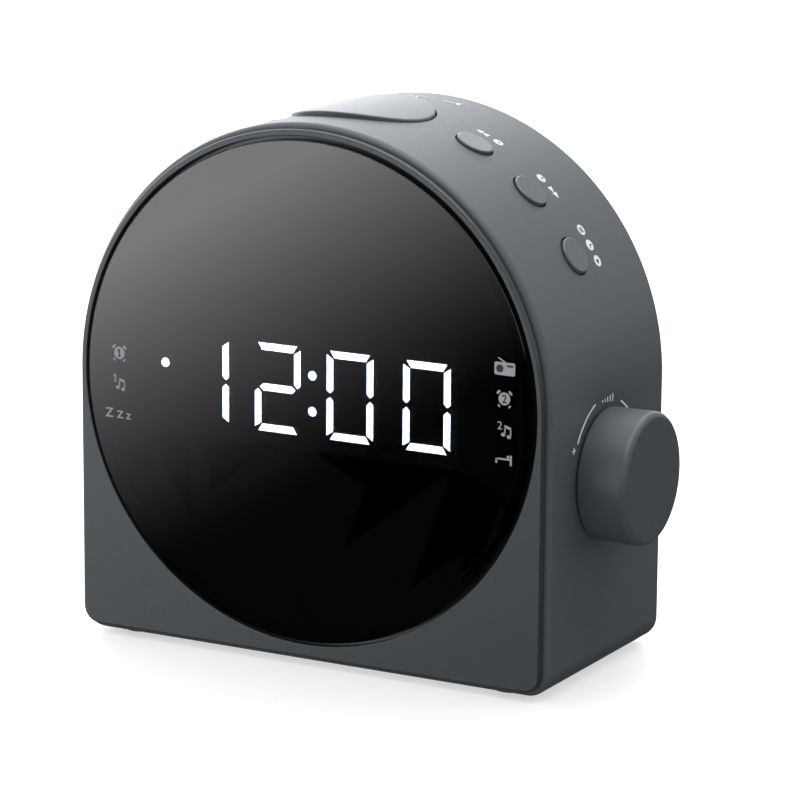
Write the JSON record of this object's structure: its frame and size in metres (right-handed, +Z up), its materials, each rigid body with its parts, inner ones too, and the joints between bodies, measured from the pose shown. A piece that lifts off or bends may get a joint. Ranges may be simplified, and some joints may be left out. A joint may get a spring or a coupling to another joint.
{
  "type": "clock radio",
  "caption": "Arched bedside clock radio with a round smoked front, bright digits, a top snooze key, round keys along the arch and a side volume knob.",
  "frame": {"origin": "on the resting plane, under the centre of the whole object's bounding box, the volume knob's overhang included; the housing's own middle plane is x = -6.4 mm", "axes": "+X to the right seen from the front, -Y out of the front, +Z up"},
  "size_m": [0.1428, 0.0636, 0.1337],
  "materials": {
    "graphite_plastic": "fine satin moulded ABS",
    "bezel_plastic": "fine satin moulded ABS",
    "smoked_lens": "polished smoked acrylic",
    "black_tape": "double-sided foam tape",
    "black_film": "printed polyester film",
    "inner_plastic": "plain moulded ABS",
    "foot_rubber": "moulded rubber",
    "screw_steel": "zinc plated",
    "lit_diffuser": "milky diffuser, lit",
    "dark_diffuser": "milky diffuser, unlit",
    "white_plastic": "reflective white moulding",
    "board_green": "solder mask on glass-epoxy board",
    "chip_black": "moulded epoxy",
    "capacitor_sleeve": "heat-shrunk sleeve",
    "cable_grey": "PVC ribbon",
    "wire_red": "PVC insulation",
    "flex_amber": "polyimide film",
    "jack_black": "moulded socket",
    "contact_nickel": "nickel plated",
    "cell_steel": "stainless can",
    "magnet_ferrite": "ferrite",
    "plated_steel": "zinc plated",
    "cone_paper": "pressed paper",
    "surround_rubber": "butyl rubber",
    "coil_copper": "enamelled copper",
    "gasket_foam": "closed-cell foam",
    "key_plastic": "fine satin moulded ABS",
    "knob_plastic": "fine satin moulded ABS",
    "shaft_metal": "turned",
    "plunger_plastic": "moulded nylon"
  },
  "bodies": {
    "housing": {"body_shell": "graphite_plastic", "front_bezel": "bezel_plastic", "display_lens": "smoked_lens", "lens_tape_ring": "black_tape", "icon_film": "black_film", "rear_cover": "graphite_plastic", "foot_pads": "foot_rubber", "case_screws": "screw_steel", "lit_segments": "lit_diffuser", "dark_segments": "dark_diffuser", "display_dots": "lit_diffuser", "digit_light_box": "white_plastic", "segment_leds": "white_plastic", "display_board": "board_green", "display_cable": "cable_grey", "main_board": "board_green", "board_chips": "chip_black", "board_capacitors": "capacitor_sleeve", "cable_headers": "white_plastic", "dc_jack_body": "jack_black", "dc_jack_pin": "contact_nickel", "aerial_grommet": "foot_rubber", "coin_cell": "cell_steel", "cell_contacts": "contact_nickel", "speaker_basket": "plated_steel", "speaker_top_plate": "plated_steel", "speaker_magnet": "magnet_ferrite", "speaker_yoke": "plated_steel", "speaker_surround": "surround_rubber", "speaker_gasket": "gasket_foam", "speaker_wires": "wire_red", "potentiometer_body": "plated_steel", "potentiometer_washer": "screw_steel", "potentiometer_nut": "screw_steel", "volume_wires": "wire_red", "key_bracket": "inner_plastic", "key_flex_strip": "flex_amber", "key_cable": "cable_grey", "switch_bodies": "chip_black", "small_screws": "screw_steel"},
    "snooze_button": {"snooze_key": "key_plastic", "snooze_plunger": "plunger_plastic"},
    "volume_control": {"volume_knob": "knob_plastic", "volume_shaft": "shaft_metal"},
    "battery_lid": {"battery_door": "graphite_plastic"},
    "speaker_diaphragm": {"speaker_cone": "cone_paper", "speaker_dust_cap": "cone_paper", "voice_coil": "coil_copper"},
    "hour_button": {"hour_key": "key_plastic", "hour_plunger": "plunger_plastic"},
    "minute_button": {"minute_key": "key_plastic", "minute_plunger": "plunger_plastic"},
    "preset_button": {"preset_key": "key_plastic", "preset_plunger": "plunger_plastic"},
    "alarm_one_button": {"alarm_one_key": "key_plastic", "alarm_one_plunger": "plunger_plastic"},
    "alarm_two_button": {"alarm_two_key": "key_plastic", "alarm_two_plunger": "plunger_plastic"},
    "power_button": {"power_key": "key_plastic", "power_plunger": "plunger_plastic"}
  },
  "joints": [
    {"name": "snooze_press", "type": "slide", "parent": "housing", "child": "snooze_button", "axis": [0.0314, 0, -0.9995], "range_m": [0, 0.001], "stiffness_N_per_m": 1500, "springref_m": -0.0003},
    {"name": "hour_press", "type": "slide", "parent": "housing", "child": "hour_button", "axis": [-0.4384, 0, -0.8988], "range_m": [0, 0.0008], "stiffness_N_per_m": 1200, "springref_m": -0.0003},
    {"name": "minute_press", "type": "slide", "parent": "housing", "child": "minute_button", "axis": [-0.6691, 0, -0.7431], "range_m": [0, 0.0008], "stiffness_N_per_m": 1200, "springref_m": -0.0003},
    {"name": "preset_press", "type": "slide", "parent": "housing", "child": "preset_button", "axis": [-0.8536, 0, -0.521], "range_m": [0, 0.0008], "stiffness_N_per_m": 1200, "springref_m": -0.0003},
    {"name": "alarm_one_press", "type": "slide", "parent": "housing", "child": "alarm_one_button", "axis": [0.4695, 0, -0.8829], "range_m": [0, 0.0008], "stiffness_N_per_m": 1200, "springref_m": -0.0003},
    {"name": "alarm_two_press", "type": "slide", "parent": "housing", "child": "alarm_two_button", "axis": [0.6947, 0, -0.7193], "range_m": [0, 0.0008], "stiffness_N_per_m": 1200, "springref_m": -0.0003},
    {"name": "power_press", "type": "slide", "parent": "housing", "child": "power_button", "axis": [0.8712, 0, -0.4909], "range_m": [0, 0.0008], "stiffness_N_per_m": 1200, "springref_m": -0.0003},
    {"name": "volume_turn", "type": "hinge", "parent": "housing", "child": "volume_control", "pos_m": [0.0586, -0.0008, 0.0498], "axis": [1, 0, 0], "range_deg": [-140, 140]},
    {"name": "battery_door_turn", "type": "hinge", "parent": "housing", "child": "battery_lid", "pos_m": [-0.0284, 0.002, 0.002], "axis": [0, 0, 1], "range_deg": [0, 60]},
    {"name": "cone_travel", "type": "slide", "parent": "housing", "child": "speaker_diaphragm", "axis": [0, 1, 0], "range_m": [-0.001, 0.001], "stiffness_N_per_m": 1500}
  ]
}
